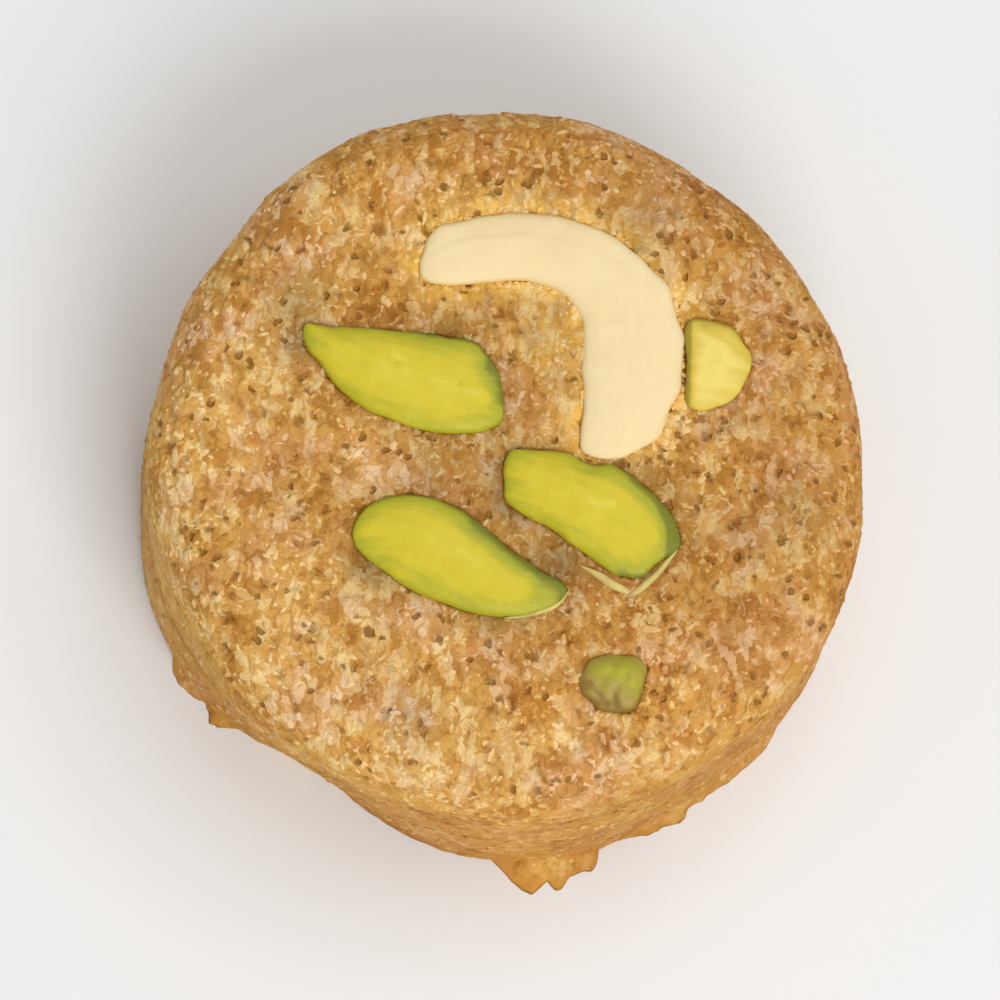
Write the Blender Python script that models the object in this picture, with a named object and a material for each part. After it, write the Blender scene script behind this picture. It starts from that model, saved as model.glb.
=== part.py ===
"""A round of pressed sesame sweet, with nut halves set in its top.

The round is one thick cake of crumb with a soft shoulder, a ragged foot and a broken
lower edge at its front left. Half a cashew and five pieces of pistachio lie in pockets
in its top, a little proud of it. Sizes are in metres. The origin is the middle of the
flat foot, +Z is up and -Y is the front.
"""

import math
import random
from collections import namedtuple

import bmesh
import bpy
from mathutils import Vector, noise

MM = 0.001


def mm(*values):
    """These millimetres as metres."""
    return tuple(value * MM for value in values)


# The cake of crumb: its wall's radius, its height at the middle, how far its top sinks
# from there to the shoulder, the shoulder's own radius, and how much wider the foot is.
ROUND_RADIUS = 26.3 * MM
THICKNESS = 21.0 * MM
CROWN = 0.3 * MM
SHOULDER = 3.8 * MM
FOOT_SPREAD = 0.4 * MM

# Uneven roundness: waves around the outline, their size, and where each first peaks.
Lobe = namedtuple("Lobe", "waves size peak")
LOBES = (
    Lobe(2, 0.15 * MM, math.radians(100)),
    Lobe(3, 0.25 * MM, math.radians(108)),
    Lobe(7, 0.12 * MM, math.radians(124)),
)

# The lower edge is broken away at the front left, from the shoulder down to the foot.
BREAK_PEAK = math.radians(-124)
BREAK_SPREAD = math.radians(21)
BREAK_DEPTH = 3.1 * MM

# Crumb pressed out of the mould stands off the foot as a thin ragged lip. A low power
# makes a flake pointed and a high one makes it square.
LIP_HEIGHT = 1.5 * MM
LIP_RAG = 0.35 * MM
LIP_RAG_RATE = 6.0
Flake = namedtuple("Flake", "peak spread reach power")
FLAKES = (
    Flake(math.radians(-84.0), math.radians(6.0), 2.7 * MM, 1.1),
    Flake(math.radians(-77.0), math.radians(4.5), 1.5 * MM, 5.0),
    Flake(math.radians(-60.0), math.radians(9.0), 0.8 * MM, 1.5),
    Flake(math.radians(-46.0), math.radians(9.0), 0.5 * MM, 2.0),
    Flake(math.radians(-142.0), math.radians(3.5), 1.3 * MM, 1.2),
    Flake(math.radians(-150.0), math.radians(5.0), 0.7 * MM, 2.0),
    Flake(math.radians(95.0), math.radians(8.0), 0.7 * MM, 2.0),
    Flake(math.radians(20.0), math.radians(7.0), 0.8 * MM, 1.3),
)

# Relief of the crumb: broad lumps and finer grains.
LUMP_SIZE, LUMP_HEIGHT = mm(7.0, 0.25)
GRAIN_SIZE, GRAIN_HEIGHT = mm(2.3, 0.36)

# The mesh of the cake.
TOP_CELLS = 40
WALL_ROWS = 11
LIP_ROWS = 3

# Nuts: the curve along each nut's middle, its half widths along that, how blunt its
# first and last end are, its height above the crumb and its depth in it, and how far
# its widest level lies below the crumb's top. Curve and half widths are the control
# values of Bezier curves.
Nut = namedtuple("Nut", "name spine half_widths ends rise depth sink colour")
CREAM = (0.90, 0.72, 0.40)
LIME = (0.68, 0.58, 0.06)
PALE_LIME = (0.80, 0.62, 0.14)
DULL_GREEN = (0.38, 0.33, 0.05)
NUTS = (
    Nut(
        "cashew_half",
        (mm(-6.7, 13.9), mm(5.7, 19.0), mm(13.0, 11.6), mm(6.8, 0.0)),
        mm(3.4, 1.4, 3.5, 3.8, 3.4), (6.0, 5.7), 0.6 * MM, 2.6 * MM, 0.1 * MM, CREAM,
    ),
    Nut(
        "pistachio_left",
        (mm(-15.0, 9.1), mm(-11.2, 5.8), mm(-3.5, 4.6), mm(-0.6, 5.0)),
        mm(1.9, 3.0, 3.7, 3.3, 5.0), (2.0, 2.5), 0.8 * MM, 2.3 * MM, 0.2 * MM, LIME,
    ),
    Nut(
        "pistachio_right",
        (mm(-0.7, -1.8), mm(3.7, -1.9), mm(8.6, -4.3), mm(10.8, -8.1)),
        mm(5.4, 2.2, 3.6, 2.7, 7.2), (1.3, 1.3), 0.9 * MM, 2.3 * MM, 0.2 * MM, LIME,
    ),
    Nut(
        "pistachio_lower",
        (mm(-11.4, -6.5), mm(-4.8, -4.6), mm(-3.9, -10.5), mm(3.9, -10.2)),
        mm(4.7, 3.7, 3.5, 2.6, 3.2), (1.8, 1.9), 0.8 * MM, 2.3 * MM, 0.2 * MM, LIME,
    ),
    Nut(
        "pistachio_end",
        (mm(13.0, 6.9), mm(16.3, 7.0), mm(17.5, 6.4)),
        mm(4.0, 3.0, 2.2, 2.0), (5.1, 1.8), 0.5 * MM, 2.0 * MM, 0.2 * MM, PALE_LIME,
    ),
    Nut(
        "pistachio_nub",
        (mm(5.2, -16.3), mm(8.3, -16.8), mm(9.8, -17.3)),
        mm(2.2, 2.0, 2.0, 2.2), (2.5, 5.0), 0.7 * MM, 1.8 * MM, 0.5 * MM, DULL_GREEN,
    ),
)
POCKET_GAP = 0.34 * MM
POCKET_TOP = THICKNESS + 3.0 * MM
RINGS_PER_MM = 0.6
END_RINGS = 7
SECTION_POINTS = 12
END_SHARE = 0.004
TOP_SQUARENESS = 0.75
DOME_POWER, KEEL_POWER = 0.5, 0.7

# Crumbs that stand off the cake: how many are tried on top and on the wall, their size,
# the share of it that is sunk, and the room they leave round a nut. The larger pale
# bits lie at places of their own, each with its radius.
TOP_CRUMBS = 24
WALL_CRUMBS = 14
CRUMB_RADII = mm(0.7, 1.1)
CRUMB_FLATNESS = 0.7
CRUMB_UNEVENNESS = (0.85, 1.15)
CRUMB_SUNK = 0.4
CRUMB_ROOM = 0.8 * MM
CRUMB_REACH = 0.97
CRUMB_SEED = 5
PALE_BITS = (mm(13.9, 12.4, 0.9), mm(13.3, 1.2, 0.9), mm(10.6, -12.6, 1.2))

CRUMB_COLOUR = (0.55, 0.33, 0.12)

# Edges this short and faces this thin are closed up after the cuts.
SLIVER = 0.02 * MM


def turned(azimuth, centre):
    """The angle from centre to azimuth, between -pi and pi."""
    return math.remainder(azimuth - centre, math.tau)


def lip_reach(azimuth):
    """How far the lip stands off the foot at this azimuth."""
    around = Vector((math.cos(azimuth), math.sin(azimuth), 0.0)) * LIP_RAG_RATE
    reach = LIP_RAG * max(0.0, noise.noise(around))
    for flake in FLAKES:
        share = min(abs(turned(azimuth, flake.peak)) / flake.spread, 1.0)
        reach += flake.reach * (1.0 - share**flake.power)
    return reach


def wall_radius(azimuth, height):
    """The radius of the cake at this azimuth and height."""
    low = 1.0 - height / THICKNESS
    radius = ROUND_RADIUS + FOOT_SPREAD * low**2
    for lobe in LOBES:
        radius += lobe.size * math.cos(lobe.waves * turned(azimuth, lobe.peak))
    radius -= BREAK_DEPTH * low * math.exp(-((turned(azimuth, BREAK_PEAK) / BREAK_SPREAD) ** 2))
    return radius + lip_reach(azimuth) * max(0.0, 1.0 - height / LIP_HEIGHT) ** 2


def top_height(radius):
    """The height of the cake's top at this distance from its middle, without relief."""
    return THICKNESS - CROWN * (radius / ROUND_RADIUS) ** 2


def relief(point):
    """How far lumps and grains raise the crumb at this point."""
    lumps = LUMP_HEIGHT * noise.noise(point / LUMP_SIZE)
    return lumps + GRAIN_HEIGHT * noise.noise(point / GRAIN_SIZE)


def raised(azimuth, radius, height, slope):
    """The point moved out by its relief; slope turns from 0 on top to a right angle on the wall."""
    outward = Vector((math.cos(azimuth), math.sin(azimuth), 0.0))
    point = outward * radius + Vector((0.0, 0.0, height))
    normal = outward * math.sin(slope) + Vector((0.0, 0.0, math.cos(slope)))
    return point + normal * relief(point)


def top_point(azimuth, share):
    """A point of the top and its shoulder, from the middle at 0 to the wall at 1."""
    level = top_height(ROUND_RADIUS)
    flat = wall_radius(azimuth, level - SHOULDER) - SHOULDER
    along = share * (flat + SHOULDER * math.pi / 2)
    if along <= flat:
        return raised(azimuth, along, top_height(along), 0.0)
    slope = (along - flat) / SHOULDER
    radius = flat + SHOULDER * math.sin(slope)
    return raised(azimuth, radius, level - SHOULDER * (1.0 - math.cos(slope)), slope)


def wall_point(azimuth, height):
    """A point of the wall."""
    return raised(azimuth, wall_radius(azimuth, height), height, math.pi / 2)


def disc_place(x, y):
    """The azimuth and share of the radius where a square's point lands on a disc of even cells."""
    if x == 0.0 and y == 0.0:
        return 0.0, 0.0
    if abs(x) >= abs(y):
        return math.pi / 4 * y / x + (math.pi if x < 0.0 else 0.0), abs(x)
    return math.pi / 2 - math.pi / 4 * x / y + (math.pi if y < 0.0 else 0.0), abs(y)


def bezier(values, share):
    """The value at this share of the Bezier curve with these control values."""
    order = len(values) - 1
    parts = [
        value * (math.comb(order, i) * share**i * (1.0 - share) ** (order - i))
        for i, value in enumerate(values)
    ]
    return sum(parts[1:], start=parts[0])


def spine_point(nut, share):
    """The point and direction of a nut's middle curve at this share of it."""
    points = [Vector((x, y, 0.0)) for x, y in nut.spine]
    steps = [after - point for point, after in zip(points, points[1:])]
    return bezier(points, share), bezier(steps, share).normalized()


def nut_widths(nut, share):
    """How full a nut is at this share of its length, from 0 at its ends to 1, and its half width."""
    bluntness = nut.ends[0] if share < 0.5 else nut.ends[1]
    fullness = math.sqrt(1.0 - abs(2.0 * share - 1.0) ** bluntness)
    return fullness, bezier(nut.half_widths, share) * fullness


def nut_shares(nut):
    """Places along a nut for its rings, closer together near its ends."""
    points = [Vector(point) for point in nut.spine]
    length = sum((b - a).length for a, b in zip(points, points[1:]))
    count = round(length / MM * RINGS_PER_MM) + END_RINGS
    bends = [0.5 - 0.5 * math.cos(math.pi * i / (count - 1)) for i in range(count)]
    return [min(max(bend, END_SHARE), 1.0 - END_SHARE) for bend in bends]


def nut_ring(nut, share):
    """One section of a nut: a dome above its widest level and a keel below."""
    centre, along = spine_point(nut, share)
    across = Vector((-along.y, along.x, 0.0))
    fullness, half_width = nut_widths(nut, share)
    level = top_height(centre.length) - nut.sink
    ring = []
    for i in range(SECTION_POINTS):
        angle = math.tau * i / SECTION_POINTS
        side, up = math.cos(angle), math.sin(angle)
        if up > 0.0:
            power, height = TOP_SQUARENESS, (nut.rise + nut.sink) * fullness**DOME_POWER
        else:
            power, height = 1.0, nut.depth * fullness**KEEL_POWER
        out = math.copysign(abs(side) ** power, side) * half_width
        rise = math.copysign(abs(up) ** power, up) * height
        ring.append(centre + across * out + Vector((0.0, 0.0, level + rise)))
    return ring


def pocket_ring(nut, share):
    """One section of the space round a nut: its keel with a gap, open to above the cake."""
    centre, along = spine_point(nut, share)
    across = Vector((-along.y, along.x, 0.0))
    fullness, half_width = nut_widths(nut, share)
    before, after = share - 0.5 * END_SHARE, share + 0.5 * END_SHARE
    length = (spine_point(nut, after)[0] - spine_point(nut, before)[0]).length
    flare = math.atan2(nut_widths(nut, after)[1] - nut_widths(nut, before)[1], length)
    centre -= along * POCKET_GAP * math.sin(flare)
    reach = half_width + POCKET_GAP * math.cos(flare)
    level = top_height(centre.length) - nut.sink
    ring = [centre + across * reach + Vector((0.0, 0.0, POCKET_TOP))]
    ring.append(centre - across * reach + Vector((0.0, 0.0, POCKET_TOP)))
    keel = nut.depth * fullness**KEEL_POWER + POCKET_GAP
    for i in range(SECTION_POINTS // 2 + 1):
        angle = math.pi + math.tau * i / SECTION_POINTS
        out = across * math.cos(angle) * reach
        ring.append(centre + out + Vector((0.0, 0.0, level + keel * math.sin(angle))))
    return ring


def new_object(name, bm, collection=None):
    """An object of this name that holds the finished mesh."""
    bmesh.ops.recalc_face_normals(bm, faces=bm.faces)
    mesh = bpy.data.meshes.new(name)
    bm.to_mesh(mesh)
    bm.free()
    obj = bpy.data.objects.new(name, mesh)
    (collection or bpy.context.scene.collection).objects.link(obj)
    return obj


def ringed_object(name, rings, collection=None):
    """A closed solid through these rings, with a flat face over its first and last one."""
    bm = bmesh.new()
    rows = [[bm.verts.new(point) for point in ring] for ring in rings]
    for row, after in zip(rows, rows[1:]):
        for i in range(len(row)):
            j = (i + 1) % len(row)
            bm.faces.new((row[i], row[j], after[j], after[i]))
    bm.faces.new(rows[0])
    bm.faces.new(rows[-1])
    return new_object(name, bm, collection)


def food_material(name, colour, roughness):
    """A plain Principled material."""
    material = bpy.data.materials.new(name)
    material.use_nodes = True
    shader = material.node_tree.nodes["Principled BSDF"]
    shader.inputs["Base Color"].default_value = (*colour, 1.0)
    shader.inputs["Roughness"].default_value = roughness
    shader.inputs["Metallic"].default_value = 0.0
    return material


def make_cake():
    """The cake of crumb, whole: an even grid for its top, rows down its wall and a flat foot."""
    bm = bmesh.new()
    bmesh.ops.create_grid(bm, x_segments=TOP_CELLS, y_segments=TOP_CELLS, size=1.0)
    rim = [edge for edge in bm.edges if edge.is_boundary]
    for vert in bm.verts:
        vert.co = top_point(*disc_place(vert.co.x, vert.co.y))
    shoulder_foot = top_height(ROUND_RADIUS) - SHOULDER
    drop = (shoulder_foot - LIP_HEIGHT) / WALL_ROWS
    heights = [shoulder_foot - drop * (i + 1) for i in range(WALL_ROWS)]
    heights += [LIP_HEIGHT * (1.0 - (i + 1) / LIP_ROWS) for i in range(LIP_ROWS)]
    for height in heights:
        made = bmesh.ops.extrude_edge_only(bm, edges=rim)["geom"]
        for vert in made:
            if isinstance(vert, bmesh.types.BMVert):
                vert.co = wall_point(math.atan2(vert.co.y, vert.co.x), max(height, 0.0))
        rim = [edge for edge in made if isinstance(edge, bmesh.types.BMEdge) and edge.is_boundary]
    bmesh.ops.edgeloop_fill(bm, edges=rim)
    return new_object("body", bm)


def clear_of_nuts(point, room):
    """Whether a crumb here leaves this much room round every nut."""
    flat = Vector((point.x, point.y, 0.0))
    for nut in NUTS:
        for share in nut_shares(nut):
            centre, _ = spine_point(nut, share)
            if (flat - centre).length < nut_widths(nut, share)[1] + room:
                return False
    return True


def add_crumb(collection, point, radius, draw):
    """One small faceted crumb, turned at random, its middle at this point."""
    bm = bmesh.new()
    bmesh.ops.create_icosphere(bm, subdivisions=1, radius=radius)
    for vert in bm.verts:
        vert.co.z *= CRUMB_FLATNESS
        vert.co *= draw.uniform(*CRUMB_UNEVENNESS)
    turn = Vector((draw.uniform(-1, 1), draw.uniform(-1, 1), draw.uniform(-1, 1)))
    for vert in bm.verts:
        vert.co.rotate(turn.to_track_quat("Z", "Y"))
        vert.co += point
    new_object("crumb", bm, collection)


def crumb_places(draw):
    """Places and radii of the crumbs, spread evenly by the golden angle."""
    golden = math.pi * (3.0 - math.sqrt(5.0))
    for i in range(TOP_CRUMBS):
        place = top_point(golden * i, CRUMB_REACH * math.sqrt((i + 0.5) / TOP_CRUMBS))
        yield place, draw.uniform(*CRUMB_RADII)
    for i in range(WALL_CRUMBS):
        height = draw.uniform(2.0 * LIP_HEIGHT, THICKNESS - SHOULDER - LIP_HEIGHT)
        yield wall_point(golden * i, height), draw.uniform(*CRUMB_RADII)
    for x, y, radius in PALE_BITS:
        yield Vector((x, y, top_height(math.hypot(x, y)))), radius


def shape_by(cake, operation, solids):
    """Joins a collection of solids to the cake or cuts them out of it, and removes them."""
    change = cake.modifiers.new(solids.name, "BOOLEAN")
    change.operation = operation
    change.operand_type = "COLLECTION"
    change.collection = solids
    cake.data = bpy.data.meshes.new_from_object(cake.evaluated_get(bpy.context.evaluated_depsgraph_get()))
    cake.modifiers.remove(change)
    for solid in list(solids.objects):
        bpy.data.objects.remove(solid)
    bpy.data.collections.remove(solids)


def fuse_crumbs(cake):
    """Joins the standing crumbs to the cake."""
    crumbs = bpy.data.collections.new("crumbs")
    bpy.context.scene.collection.children.link(crumbs)
    draw = random.Random(CRUMB_SEED)
    for place, radius in crumb_places(draw):
        on_top = place.z > THICKNESS - SHOULDER
        if on_top and not clear_of_nuts(place, radius + CRUMB_ROOM):
            continue
        inward = Vector((0.0, 0.0, -1.0)) if on_top else Vector((-place.x, -place.y, 0.0)).normalized()
        add_crumb(crumbs, place + inward * radius * CRUMB_SUNK, radius, draw)
    shape_by(cake, "UNION", crumbs)


def cut_pockets(cake):
    """Cuts a pocket for each nut."""
    pockets = bpy.data.collections.new("pockets")
    bpy.context.scene.collection.children.link(pockets)
    for nut in NUTS:
        rings = [pocket_ring(nut, share) for share in nut_shares(nut)]
        ringed_object("pocket_" + nut.name, rings, pockets)
    shape_by(cake, "DIFFERENCE", pockets)


def close_slivers(cake):
    """Closes up the shortest edges and the thinnest faces that the cuts leave."""
    bm = bmesh.new()
    bm.from_mesh(cake.data)
    bmesh.ops.triangulate(bm, faces=bm.faces)
    bmesh.ops.dissolve_degenerate(bm, dist=SLIVER, edges=bm.edges)
    bmesh.ops.triangulate(bm, faces=bm.faces)
    bm.to_mesh(cake.data)
    bm.free()


def make_nut(nut):
    """One nut, rounded above and below."""
    obj = ringed_object(nut.name, [nut_ring(nut, share) for share in nut_shares(nut)])
    obj.data.shade_smooth()
    obj.data.materials.append(food_material(nut.name, nut.colour, 0.45))


def main():
    """Clears the scene and makes the cake, its pockets and its nuts."""
    for obj in list(bpy.data.objects):
        bpy.data.objects.remove(obj)
    cake = make_cake()
    fuse_crumbs(cake)
    cut_pockets(cake)
    close_slivers(cake)
    cake.data.materials.clear()
    cake.data.materials.append(food_material("crumb", CRUMB_COLOUR, 0.8))
    for nut in NUTS:
        make_nut(nut)


main()
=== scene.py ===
"""The looks of a round pressed sesame sweet with nut halves set in its top.

The cake of crumb, its loose crumbs, the nuts and their skins are surfaces worked out
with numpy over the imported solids, in the same frame: metres, +Z up, -Y the front, the
origin at the middle of the foot. Each operator below makes one group of pieces.
"""

import math
from collections import namedtuple
from functools import partial, reduce
from itertools import combinations

import bpy
import numpy as np
from bpy.props import FloatProperty, FloatVectorProperty, IntProperty, PointerProperty
from mathutils import Matrix, Vector


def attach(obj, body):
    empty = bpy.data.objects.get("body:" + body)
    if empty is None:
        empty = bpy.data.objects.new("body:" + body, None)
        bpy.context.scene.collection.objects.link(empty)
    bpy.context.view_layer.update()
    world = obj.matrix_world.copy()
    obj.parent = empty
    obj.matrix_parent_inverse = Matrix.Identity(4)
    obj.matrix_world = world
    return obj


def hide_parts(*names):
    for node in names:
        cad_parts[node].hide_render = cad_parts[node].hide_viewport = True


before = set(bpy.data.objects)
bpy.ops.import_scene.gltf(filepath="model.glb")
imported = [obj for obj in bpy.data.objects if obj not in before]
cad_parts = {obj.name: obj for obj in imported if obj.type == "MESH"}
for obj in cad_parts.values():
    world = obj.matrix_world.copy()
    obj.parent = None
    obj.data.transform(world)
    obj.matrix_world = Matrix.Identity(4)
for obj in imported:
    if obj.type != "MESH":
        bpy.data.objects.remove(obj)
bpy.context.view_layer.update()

bl_info = {
    "name": "Pressed sesame sweet",
    "version": (1, 0, 0),
    "blender": (4, 5, 0),
    "location": "View3D > Sidebar > Sweet",
    "description": "Makes a round pressed sesame sweet with nuts, piece by piece",
    "category": "Add Mesh",
}

MM = 0.001


def mm(*values):
    """These millimetres as metres."""
    return tuple(value * MM for value in values)


# The form of the solids: the cake's radius, height, crown, shoulder and foot.
ROUND_RADIUS = 26.3 * MM
THICKNESS = 21.0 * MM
CROWN = 0.3 * MM
SHOULDER = 3.8 * MM
FOOT_SPREAD = 0.4 * MM

# Lobes of the outline: how many go round, how far they stand out, and one's azimuth.
Lobe = namedtuple("Lobe", "waves size peak")
LOBES = (
    Lobe(2, 0.15 * MM, math.radians(100)),
    Lobe(3, 0.25 * MM, math.radians(108)),
    Lobe(7, 0.12 * MM, math.radians(124)),
)
# The broken lower edge: its azimuth, half width and depth at the foot.
BREAK_PEAK = math.radians(-124)
BREAK_SPREAD = math.radians(21)
BREAK_DEPTH = 3.1 * MM
LIP_HEIGHT = 1.5 * MM
# Flakes of the lip: azimuth and half width in degrees, reach in millimetres, and power.
Flake = namedtuple("Flake", "peak spread reach power")
FLAKES = tuple(
    Flake(math.radians(peak), math.radians(spread), reach * MM, power)
    for peak, spread, reach, power in (
        (-84.0, 6.0, 2.7, 1.1), (-77.0, 4.5, 1.5, 5.0), (-60.0, 9.0, 0.8, 1.5),
        (-46.0, 9.0, 0.5, 2.0), (-142.0, 3.5, 1.3, 1.2), (-150.0, 5.0, 0.7, 2.0),
        (95.0, 8.0, 0.7, 2.0), (20.0, 7.0, 0.8, 1.3),
    )
)

# The nuts, as in the solids: control values of the Bezier curves of the middle line and
# the half width, bluntness of both ends, height above the crumb, depth in it, and sink
# of the widest level. The skins beside them are made in the same way.
Nut = namedtuple("Nut", "node spine half_widths ends rise depth sink")


def nut_of(node, spine, half_widths, ends, *heights):
    """A nut whose lengths are given in millimetres."""
    return Nut(node, tuple(mm(*place) for place in spine), mm(*half_widths), ends, *mm(*heights))


NUTS = {
    "cashew": nut_of(
        "cashew_half", ((-6.7, 13.9), (5.7, 19.0), (13.0, 11.6), (6.8, 0.0)),
        (3.4, 1.4, 3.5, 3.8, 3.4), (6.0, 5.7), 0.6, 2.6, 0.1),
    "left": nut_of(
        "pistachio_left", ((-15.0, 9.1), (-11.2, 5.8), (-3.5, 4.6), (-0.6, 5.0)),
        (1.9, 3.0, 3.7, 3.3, 5.0), (2.0, 2.5), 0.8, 2.3, 0.2),
    "right": nut_of(
        "pistachio_right", ((-0.7, -1.8), (3.7, -1.9), (8.6, -4.3), (10.8, -8.1)),
        (5.4, 2.2, 3.6, 2.7, 7.2), (1.3, 1.3), 0.9, 2.3, 0.2),
    "lower": nut_of(
        "pistachio_lower", ((-11.4, -6.5), (-4.8, -4.6), (-3.9, -10.5), (3.9, -10.2)),
        (4.7, 3.7, 3.5, 2.6, 3.2), (1.8, 1.9), 0.8, 2.3, 0.2),
    "end": nut_of(
        "pistachio_end", ((13.0, 6.9), (16.3, 7.0), (17.5, 6.4)),
        (4.0, 3.0, 2.2, 2.0), (5.1, 1.8), 0.5, 2.0, 0.2),
    "nub": nut_of(
        "pistachio_nub", ((5.2, -16.3), (8.3, -16.8), (9.8, -17.3)),
        (2.2, 2.0, 2.0, 2.2), (2.5, 5.0), 0.7, 1.8, 0.5),
}
# The three large halves, beside which the crumb is darkened by painted shade.
HALVES = ("left", "right", "lower")
SKINS = {
    "skin_below": nut_of(
        "", ((5.0, -8.1), (6.3, -8.75), (7.6, -9.6), (8.9, -10.3)),
        (0.12, 0.3, 0.5, 0.35), (2.0, 2.0), 0.28, 0.8, 0.2),
    "skin_beside": nut_of(
        "", ((8.5, -10.5), (9.7, -10.0), (11.0, -8.5), (12.3, -6.8)),
        (0.4, 0.32, 0.22, 0.25), (2.0, 2.0), 0.35, 0.8, 0.2),
    "skin_lower": nut_of(
        "", ((4.3, -9.9), (3.8, -11.3), (1.8, -12.0), (-0.4, -12.1)),
        (0.12, 0.24, 0.2, 0.1), (2.0, 2.0), 0.2, 0.6, 0.2),
}


def in_metres(kind, lengths, rows):
    """A tuple of this kind for each row; this many of a row's values are in millimetres."""
    return tuple(kind(*mm(*row[:lengths]), *row[lengths:]) for row in rows)


# Corners that sharpen a nut's outline: a place in plan and how far the outline moves there.
Corner = namedtuple("Corner", "x y push_x push_y")
CORNER_REACH = 1.2 * MM
CORNERS = {
    "cashew_half": in_metres(Corner, 4, (
        (-5.3, 16.6, -0.05, 0.3), (-6.9, 15.1, 0.35, -0.1), (-6.5, 13.1, -0.1, -0.25),
        (5.6, 0.4, -0.9, -0.6), (5.3, 1.9, -0.3, -0.05), (10.9, 1.6, 0.3, -0.25),
        (5.3, 6.4, -0.3, 0.0), (5.2, 8.6, -0.2, -0.1), (12.5, 7.2, 0.2, 0.0),
        (12.4, 9.2, 0.3, 0.0), (12.2, 4.9, 0.35, 0.0), (11.5, 12.5, 0.4, 0.1),
    )),
    "pistachio_left": in_metres(Corner, 4, (
        (-14.9, 9.3, 0.05, 0.4), (-13.6, 6.5, 0.2, 0.25), (-1.3, 7.8, -0.25, -0.1),
        (-0.5, 2.9, 0.3, -0.3),
    )),
    "pistachio_right": in_metres(Corner, 4, (
        (-0.1, 0.0, 0.0, 0.35), (-0.9, -2.0, 0.3, 0.0), (5.8, -0.2, 0.0, -0.55),
        (12.2, -6.7, 0.25, -0.2), (9.5, -9.0, 0.15, -0.4), (11.2, -8.1, -0.15, 0.2),
    )),
    "pistachio_lower": in_metres(Corner, 4, (
        (3.9, -9.8, 0.3, 0.0), (1.8, -11.7, 0.1, 0.15),
    )),
    "pistachio_end": in_metres(Corner, 4, (
        (13.3, 5.4, -0.2, 0.0), (13.4, 8.6, -0.2, 0.0), (13.5, 9.8, -0.4, 0.25),
        (13.6, 4.0, -0.5, -0.1), (15.9, 9.5, 0.1, 0.35), (15.4, 3.9, 0.1, -0.25),
        (16.6, 4.9, 0.35, -0.1),
    )),
}
# Marks on the nuts: a line in plan from one place to another, its half width, how deep
# it is, and how much darker, or paler below 0. Most paler marks are painted highlights,
# along low raised ridges and tops.
Mark = namedtuple("Mark", "x y to_x to_y width depth shade")
MARKS = {
    "cashew_half": in_metres(Mark, 6, (
        (7.9, 9.9, 8.0, 9.9, 0.25, 0.02, 0.9), (-1.5, 17.2, 5.0, 16.6, 1.3, 0.0, 0.35),
    )),
    "pistachio_left": in_metres(Mark, 6, (
        (-8.9, 7.0, -7.9, 6.2, 0.2, 0.10, 0.4), (-8.5, 7.2, -7.7, 6.6, 0.35, -0.06, -0.35),
        (-9.5, 6.0, -5.0, 4.0, 1.0, -0.05, -0.3), (-5.6, 5.4, -1.6, 4.1, 0.35, -0.06, -0.35),
        (-3.9, 5.2, -2.5, 4.6, 0.12, 0.08, 0.5), (-1.5, 6.5, -0.9, 4.0, 0.6, 0.0, 0.35),
    )),
    "pistachio_right": in_metres(Mark, 6, (
        (12.0, -4.4, 12.2, -6.7, 0.85, 0.0, 1.2), (8.3, -8.7, 9.8, -9.1, 0.7, 0.0, 0.35),
        (9.2, -2.0, 11.0, -4.0, 0.7, 0.0, 0.35), (3.0, -2.9, 5.0, -3.2, 0.3, -0.05, -0.35),
        (5.2, -3.5, 7.4, -3.8, 0.35, -0.06, -0.45), (5.4, -4.7, 6.6, -4.8, 0.25, -0.04, -0.3),
        (3.6, -1.0, 7.6, -1.3, 0.8, 0.0, 0.12),
    )),
    "pistachio_lower": in_metres(Mark, 6, (
        (-5.6, -6.3, -2.6, -8.2, 0.9, 0.0, -0.25), (-2.5, -5.6, 2.6, -8.9, 0.8, 0.0, 0.35),
        (2.2, -10.0, 3.9, -10.0, 0.9, 0.0, 0.4),
    )),
    "pistachio_end": in_metres(Mark, 6, (
        (13.0, 4.2, 13.0, 9.6, 0.35, 0.05, 0.8), (14.2, 9.7, 17.6, 7.2, 0.3, 0.0, 0.25),
        (14.6, 6.0, 15.4, 8.0, 0.8, 0.0, -0.3),
    )),
    "pistachio_nub": in_metres(Mark, 6, (
        (6.6, -15.9, 7.9, -15.8, 0.8, -0.05, -0.5), (8.4, -15.6, 9.2, -16.1, 0.5, -0.05, -0.3),
        (7.2, -15.2, 8.0, -15.6, 0.2, 0.08, 0.4), (5.9, -16.9, 7.2, -18.5, 0.3, 0.12, 0.45),
        (7.6, -17.4, 7.8, -18.8, 0.3, 0.16, 0.6), (5.4, -15.2, 5.6, -17.0, 0.4, 0.0, 0.4),
        (9.0, -17.2, 9.5, -18.0, 0.5, -0.06, -0.4),
    )),
}
# Pale bits of nut in the crumb: middle in plan and half sizes.
Bit = namedtuple("Bit", "x y length width")
BITS = in_metres(Bit, 4, (
    (13.3, 11.9, 0.95, 0.7), (12.6, 2.4, 1.0, 0.8), (10.5, -12.3, 1.3, 1.0),
    (-15.5, 8.6, 0.7, 0.5), (8.9, -10.9, 0.6, 0.4), (10.3, -14.9, 0.7, 0.5),
    (-4.4, 20.4, 0.6, 0.4),
))
# Crumbs to a bit, the radius of each as a share of the bit's width, and their shade.
BIT_CRUMBS, BIT_SHARE, BIT_SHIFT = 9, 0.55, 0.75
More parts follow.
